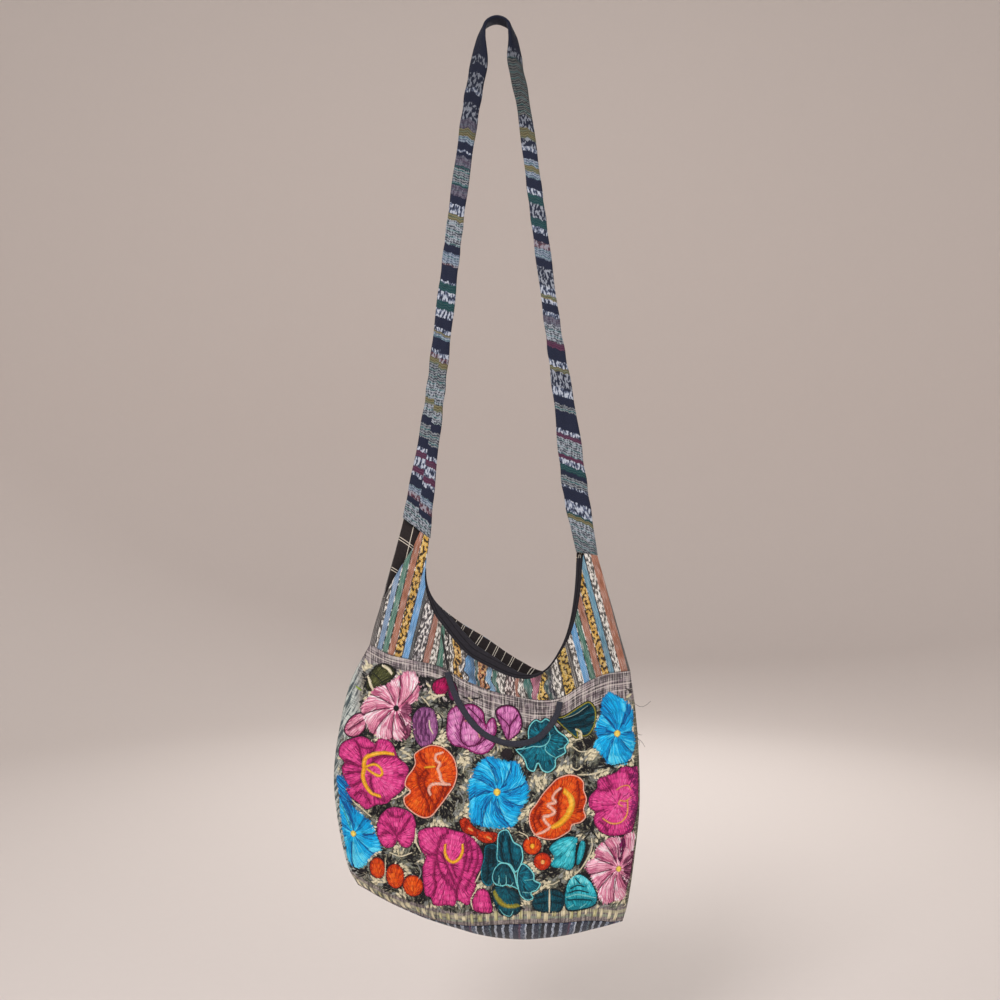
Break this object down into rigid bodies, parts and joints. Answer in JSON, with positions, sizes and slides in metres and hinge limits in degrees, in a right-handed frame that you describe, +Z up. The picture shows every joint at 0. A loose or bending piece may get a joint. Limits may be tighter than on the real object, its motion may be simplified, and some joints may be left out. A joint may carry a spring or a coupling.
{
  "type": "embroidered hobo bag",
  "caption": "Soft cloth shoulder bag with an embroidered front, a striped yoke rising to a long woven strap, a dark lining and a closure loop with its button, shown hanging by its strap.",
  "frame": {"origin": "underside of the strap at its top bend, where the bag hangs", "axes": "+Z up, +X to the right seen from the front, the embroidered front faces -Y"},
  "size_m": [0.3609, 0.0721, 1.086],
  "materials": {
    "embroidered_cloth": "grey and cream woven cotton, closely embroidered with flowers in shiny thread",
    "navy_cloth": "navy cotton with speckled tie-dyed bands",
    "striped_cloth": "matt cotton in narrow woven stripes",
    "lining_cloth": "matt charcoal cotton with thin cream check lines",
    "facing_cloth": "matt black cotton",
    "strap_cloth": "navy, grey and white cotton with tie-dyed bands across it",
    "loop_cloth": "matt charcoal cotton",
    "button_cord": "black cord, tied in a round knot"
  },
  "bodies": {
    "root": {"front_panel": "embroidered_cloth", "back_panel": "navy_cloth", "front_yoke": "striped_cloth", "back_yoke": "striped_cloth", "lining": "lining_cloth", "mouth_facing": "facing_cloth", "strap": "strap_cloth", "closure_loop": "loop_cloth", "closure_button": "button_cord"}
  },
  "joints": []
}
